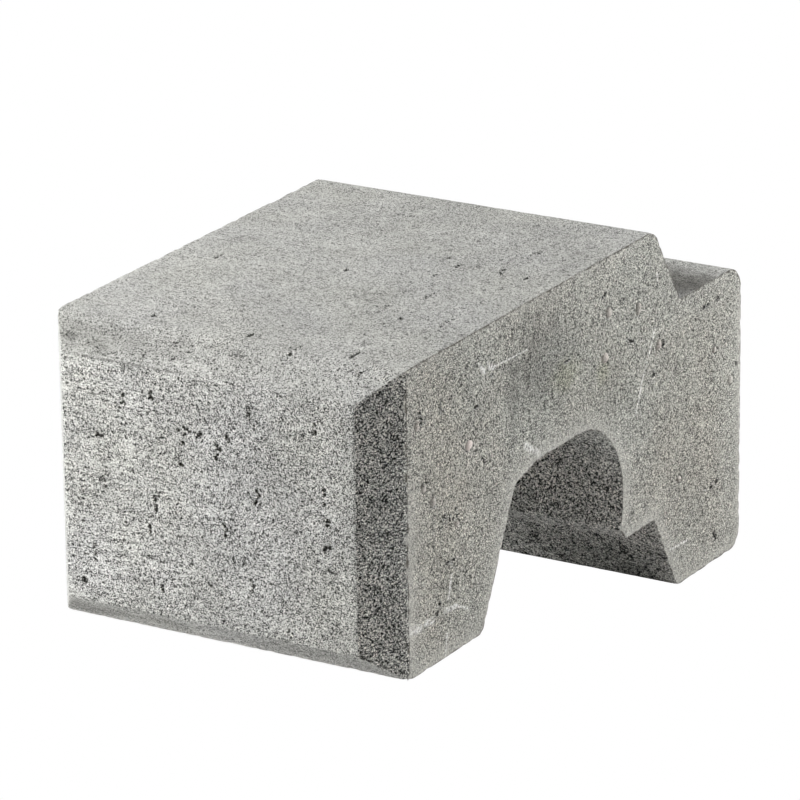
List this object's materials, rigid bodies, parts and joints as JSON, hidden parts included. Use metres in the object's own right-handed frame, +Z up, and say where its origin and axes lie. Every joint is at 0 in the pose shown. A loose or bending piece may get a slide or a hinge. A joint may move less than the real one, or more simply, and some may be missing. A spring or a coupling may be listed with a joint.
{
  "type": "retaining wall block",
  "caption": "Cast-concrete dry-stack retaining-wall block with a bevelled front panel, a rear locking ridge and heel, and an arched tunnel from side to side.",
  "frame": {"origin": "centre of the block's footprint (the middle of its bounding box in X and Y), at the underside of the heel", "axes": "+X along the block's width, from side to side, the outline being the same all the way; -Y out of the front panel, +Y towards the earth side; +Z up, the course direction"},
  "size_m": [0.25, 0.467, 0.257],
  "materials": {
    "dry_cast_concrete": "open-grained dry-cast concrete, light grey, drawn smooth and striated on the top and front, granular on the sides"
  },
  "bodies": {
    "root": {"wall_block": "dry_cast_concrete"}
  },
  "joints": []
}
